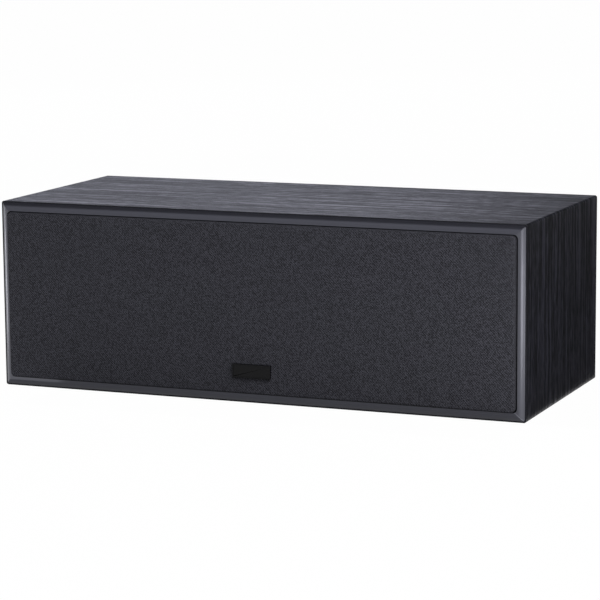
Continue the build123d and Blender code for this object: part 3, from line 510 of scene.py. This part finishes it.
def flex_between(made, centre, inner, outer):
    """Bakes the piece's transform into its mesh and works out each vertex's share between the inner and
    outer radius, which is then not used.
    """
    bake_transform(made)
    for corner in made.data.vertices:
        radius = math.hypot(corner.co.x - centre.x, corner.co.z - centre.z)
        share = min(max((outer - radius) / (outer - inner), 0.0), 1.0)
        share * share * (3 - 2 * share)


def surround(side):
    """Rubber half roll between cone and basket."""
    node = "woofer_%s_surround" % side
    low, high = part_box(node)
    centre = (low + high) / 2
    outside = (high.x - low.x) / 2
    half_wall = 0.35 * MM
    basket_lip = 3.4 * MM
    cone_lip = 3.0 * MM
    roll = (high.y - low.y) - half_wall
    back = high.y - half_wall
    middle = outside - basket_lip - roll
    shape = bmesh.new()
    rim = shape.verts.new((centre.x + outside, back, centre.z))
    foot = reach(shape, rim, (-basket_lip, 0, 0))
    neck = arc(shape, foot, (centre.x + middle, back, centre.z), -math.pi, steps=16)
    reach(shape, neck, (-cone_lip, 0, 0))
    turn_outline(shape, centre, sides=128)
    made = piece(node.replace("surround", "roll"), shape, "black_rubber")
    give_wall(made, 2 * half_wall, 0)
    flex_between(made, centre, middle - roll, middle + roll)
    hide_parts(node)


def spider(side):
    """Corrugated cloth ring that centres the coil."""
    node = "woofer_%s_spider" % side
    low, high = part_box(node)
    centre = (low + high) / 2
    outside = (high.x - low.x) / 2
    lip = 3.0 * MM
    inside = 12.75 * MM
    wall = 0.45 * MM
    folds = 12
    fold = (outside - inside - 2 * lip) / folds
    shape = bmesh.new()
    rim = shape.verts.new((centre.x + outside, centre.y, centre.z))
    end = reach(shape, rim, (-lip, 0, 0))
    for count in range(folds):
        middle = (end.co.x - fold / 2, centre.y, centre.z)
        end = arc(shape, end, middle, math.pi if count % 2 else -math.pi, steps=6)
    reach(shape, end, (-lip, 0, 0))
    turn_outline(shape, centre, sides=72)
    made = piece(node.replace("spider", "corrugated_ring"), shape, "spider_cloth")
    give_wall(made, wall, 0)
    flex_between(made, centre, inside + lip, outside - lip)
    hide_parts(node)


def dome():
    """Silk dome, its small roll and the glued lip, in one skin."""
    low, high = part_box("tweeter_dome")
    centre = (low + high) / 2
    lip_r = (high.x - low.x) / 2
    dome_r = 12.5 * MM
    roll = 2.0 * MM
    wall = 0.25 * MM
    inset = 0.15 * MM
    seat = high.y - inset
    rise = seat - low.y - inset
    ball = (dome_r**2 + rise**2) / (2 * rise)
    shape = bmesh.new()
    rim = shape.verts.new((centre.x + lip_r, seat, centre.z))
    foot = reach(shape, rim, (dome_r + 2 * roll - lip_r, 0, 0))
    skirt = arc(shape, foot, (centre.x + dome_r + roll, seat, centre.z), -math.pi, steps=10)
    crown = -math.asin(dome_r / ball)
    arc(shape, skirt, (centre.x, seat + ball - rise, centre.z), crown, steps=16)
    turn_outline(shape, centre, sides=96)
    made = piece("silk_dome", shape, "dome_silk")
    give_wall(made, wall, 0)
    flex_between(made, centre, dome_r, dome_r + 2 * roll)
    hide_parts("tweeter_dome")


def grille_cloth():
    """Cloth pulled over the grille's frame, round its edges and on to its back."""
    low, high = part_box("grille_cloth")
    middle = (low + high) / 2
    size = high - low
    hem = 9.0 * MM
    wall = 0.6 * MM
    corner_r = 3.2 * MM
    edge_r = 1.3 * MM
    shape = bmesh.new()
    bmesh.ops.create_grid(shape, x_segments=1, y_segments=1, size=0.5)
    bmesh.ops.scale(shape, vec=(size.x, size.z, 1), verts=shape.verts)
    bmesh.ops.bevel(
        shape, geom=shape.verts, offset=corner_r, segments=7, profile=0.5, affect="VERTICES", material=-1
    )
    upright = Matrix.Rotation(math.pi / 2, 3, "X")
    bmesh.ops.rotate(shape, cent=(0, 0, 0), matrix=upright, verts=shape.verts)
    bmesh.ops.translate(shape, vec=(middle.x, low.y, middle.z), verts=shape.verts)
    front_rim = list(shape.edges)
    pulled = bmesh.ops.extrude_edge_only(shape, edges=front_rim)["geom"]
    back_rim = corners_of(pulled)
    bmesh.ops.translate(shape, vec=(0, size.y, 0), verts=back_rim)
    back_edges = [edge for edge in shape.edges if all(vert in back_rim for vert in edge.verts)]
    folded = bmesh.ops.extrude_edge_only(shape, edges=back_edges)["geom"]
    for corner in corners_of(folded):
        corner.co.x = middle.x + (corner.co.x - middle.x) * (1 - 2 * hem / size.x)
        corner.co.z = middle.z + (corner.co.z - middle.z) * (1 - 2 * hem / size.z)
    bmesh.ops.recalc_face_normals(shape, faces=shape.faces)
    round_edges(shape, front_rim + back_edges, edge_r, 5)
    made = piece("stretched_cloth", shape, "grille_fabric")
    give_wall(made, wall, -1)
    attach(made, "grille")
    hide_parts("grille_cloth")


def damping_mat():
    """Loose fleece under the top and down both ends, lumpy on its free side."""
    low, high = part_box("damping_mat")
    thick = 12 * MM
    inset = 0.5 * MM
    voxel = 4 * MM
    lump_size = 0.03
    sag = 4 * MM
    left, right = low.x + inset, high.x - inset
    foot, top = low.z + inset, high.z - inset
    outline = [
        (left, foot),
        (left, top),
        (right, top),
        (right, foot),
        (right - thick, foot),
        (right - thick, top - thick),
        (left + thick, top - thick),
        (left + thick, foot),
    ]
    shape = bmesh.new()
    face = shape.faces.new([shape.verts.new((x, low.y + inset, z)) for x, z in outline])
    grown = bmesh.ops.extrude_face_region(shape, geom=[face])["geom"]
    length = high.y - low.y - 2 * inset
    bmesh.ops.translate(shape, vec=(0, length, 0), verts=corners_of(grown))
    bmesh.ops.recalc_face_normals(shape, faces=shape.faces)
    made = piece("fleece_mat", shape, "damping_fleece")
    voxels = made.modifiers.new("tufts", "REMESH")
    voxels.mode = "VOXEL"
    voxels.voxel_size = voxel
    voxels.use_smooth_shade = True
    lumps = bpy.data.textures.new("lumps", "CLOUDS")
    lumps.noise_scale = lump_size
    loose = made.modifiers.new("loose", "DISPLACE")
    loose.texture = lumps
    loose.strength = -sag
    loose.mid_level = 0.2
    eased = made.modifiers.new("eased", "SMOOTH")
    eased.factor = 0.5
    eased.iterations = 3
    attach(made, "cabinet")
    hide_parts("damping_mat")


def badge():
    """Bare badge: a raised frame round a gloss field."""
    low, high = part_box("badge_plate")
    corner_r = 0.8 * MM
    edge_r = 0.35 * MM
    frame_width = 0.7 * MM
    slope = 0.12 * MM
    sunk = 0.25 * MM
    shape = bmesh.new()
    bmesh.ops.create_cube(shape, size=1.0)
    bmesh.ops.scale(shape, vec=high - low, verts=shape.verts)
    bmesh.ops.translate(shape, vec=(low + high) / 2, verts=shape.verts)
    uprights = [edge for edge in shape.edges if abs(edge.verts[0].co.y - edge.verts[1].co.y) > MM]
    round_edges(shape, uprights, corner_r, 5)
    front = min(shape.faces, key=lambda face: face.calc_center_median().y)
    round_edges(shape, list(front.edges), edge_r, 3)
    front = min(shape.faces, key=lambda face: face.calc_center_median().y)
    bmesh.ops.inset_region(shape, faces=[front], thickness=frame_width, depth=0)
    bmesh.ops.inset_region(shape, faces=[front], thickness=slope, depth=-sunk)
    made = piece("badge", shape, "badge_black", smooth=False)
    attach(made, "grille")
    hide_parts("badge_plate")


dress()
for side in ("left", "right"):
    surround(side)
    spider(side)
dome()
grille_cloth()
damping_mat()
badge()


LAMP_TINT = (0.94, 0.945, 1.0)
SKY_TINT = (0.84, 0.855, 1.0)
STRIP_TINT = (1.0, 1.0, 1.0)
AIM = Vector((0.0, 0.0, 0.065))
SIGHT = Vector((-0.00047, 0.0, 0.0647))
SENSOR = 36.0
LENS = 155.067
BEARING = 22.47
ELEVATION = 9.311
DISTANCE = 2.02036
ROLL = -0.462
FLOOR_HALF = 30.0
FLOOR_WHITE = 0.99
CARD_LEVEL = 0.002
NET_LEVEL = -0.0005


def floor():
    """A pale floor, nearly white to the eye and in reflections, that lights the speaker as paper does."""
    paper = Finish("floor paper")
    path = paper.node("LightPath")
    rays = ("Is Camera Ray", "Is Glossy Ray", "Is Transmission Ray")
    seen, mirrored, through = [Value(paper, path.socket.node.outputs[name]) for name in rays]
    shows = (seen + mirrored + through) * FLOOR_WHITE
    fibre = paper.grit(40.0)
    tone = paper.mix(fibre, tint(236, 236, 237), tint(240, 240, 241))
    lit = paper.node("BsdfDiffuse", sockets={"Color": tone})
    glow = paper.node("Emission", sockets={"Color": (1, 1, 1, 1), "Strength": 1.0})
    both = paper.node("MixShader", sockets={0: shows, 1: lit, 2: glow})
    paper.node("OutputMaterial", sockets={"Surface": both})
    shape = bmesh.new()
    bmesh.ops.create_grid(shape, x_segments=1, y_segments=1, size=FLOOR_HALF)
    bmesh.ops.translate(shape, vec=(0, 0, -MM), verts=shape.verts)
    placed("floor", shape, paper.material)


def toward(azimuth, elevation):
    """The way from the speaker to that bearing: 0 is straight in front, 90 to its right as seen."""
    a, e = math.radians(azimuth), math.radians(elevation)
    return Vector((math.sin(a) * math.cos(e), -math.cos(a) * math.cos(e), math.sin(e)))


def softbox(name, bearing, distance, size, glow, colour):
    """A soft lamp of that brightness, facing the speaker."""
    lamp = bpy.data.lights.new(name, "AREA")
    lamp.shape = "RECTANGLE"
    lamp.size, lamp.size_y = size
    lamp.color = colour
    lamp.energy = glow * math.pi * size[0] * size[1]
    made = bpy.data.objects.new(name, lamp)
    scene.collection.objects.link(made)
    back = toward(*bearing)
    made.location = AIM + back * distance
    made.rotation_mode = "QUATERNION"
    made.rotation_quaternion = (-back).to_track_quat("-Z", "Y")
    made.visible_camera = False


def card(name, shade, level, corner, opposite, cover=1.0):
    """A card, or a net that covers a share of the floor, that takes light off the speaker out of sight."""
    paper = Finish(name)
    fibre = paper.grit(300.0)
    tone = paper.mix(fibre, tint(shade, shade, shade), tint(shade + 4, shade + 4, shade + 4))
    dull = paper.node("BsdfDiffuse", sockets={"Color": tone})
    clear = paper.node("BsdfTransparent")
    net = paper.node("MixShader", sockets={0: cover, 1: clear, 2: dull})
    paper.node("OutputMaterial", sockets={"Surface": net})
    shape = bmesh.new()
    bmesh.ops.create_grid(shape, x_segments=1, y_segments=1, size=0.5)
    bmesh.ops.scale(shape, vec=(opposite[0] - corner[0], opposite[1] - corner[1], 1), verts=shape.verts)
    middle = ((corner[0] + opposite[0]) / 2, (corner[1] + opposite[1]) / 2, level)
    bmesh.ops.translate(shape, vec=middle, verts=shape.verts)
    made = placed(name, shape, paper.material)
    made.visible_camera = False


def room(level):
    """A dim even room."""
    world = bpy.data.worlds.new("room")
    scene.world = world
    world.use_nodes = True
    ground = world.node_tree.nodes["Background"]
    ground.inputs["Color"].default_value = (*LAMP_TINT, 1)
    ground.inputs["Strength"].default_value = level


def portrait():
    """The camera, standing to the right and a little above."""
    lens = bpy.data.cameras.new("portrait")
    lens.sensor_width = SENSOR
    lens.lens = LENS
    lens.clip_end = 100.0
    made = bpy.data.objects.new("portrait", lens)
    scene.collection.objects.link(made)
    back = toward(BEARING, ELEVATION)
    made.location = SIGHT + back * DISTANCE
    made.rotation_mode = "QUATERNION"
    tilted = Quaternion((0, 0, 1), math.radians(ROLL))
    made.rotation_quaternion = (-back).to_track_quat("-Z", "Y") @ tilted
    scene.camera = made


scene.view_settings.view_transform = "Standard"
floor()
room(level=0.1)
softbox("key softbox", bearing=(51, 42), distance=2.2, size=(1.4, 1.0), glow=9.4, colour=LAMP_TINT)
softbox("front softbox", bearing=(-20, 30), distance=2.2, size=(1.9, 2.0), glow=0.6, colour=LAMP_TINT)
softbox("right softbox", bearing=(61.5, -1.5), distance=0.43, size=(0.1, 0.1), glow=3.5, colour=STRIP_TINT)
softbox("left softbox", bearing=(-75.5, -1.5), distance=0.426, size=(0.07, 0.1), glow=4.4, colour=STRIP_TINT)
softbox("back softbox", bearing=(-142.5, 17), distance=3.0, size=(2.6, 1.2), glow=1.8, colour=SKY_TINT)
card("dark card", 8, CARD_LEVEL, (0.43, -0.09), (1.6, 2.2))
card("mid card", 90, CARD_LEVEL, (0.214, -0.09), (0.43, 2.2))
card("front net", 150, NET_LEVEL, (-0.17, -0.15), (0.213, -0.1), cover=0.7)
card("under net", 150, NET_LEVEL, (-0.213, -0.1), (0.213, 0.1), cover=0.75)
portrait()
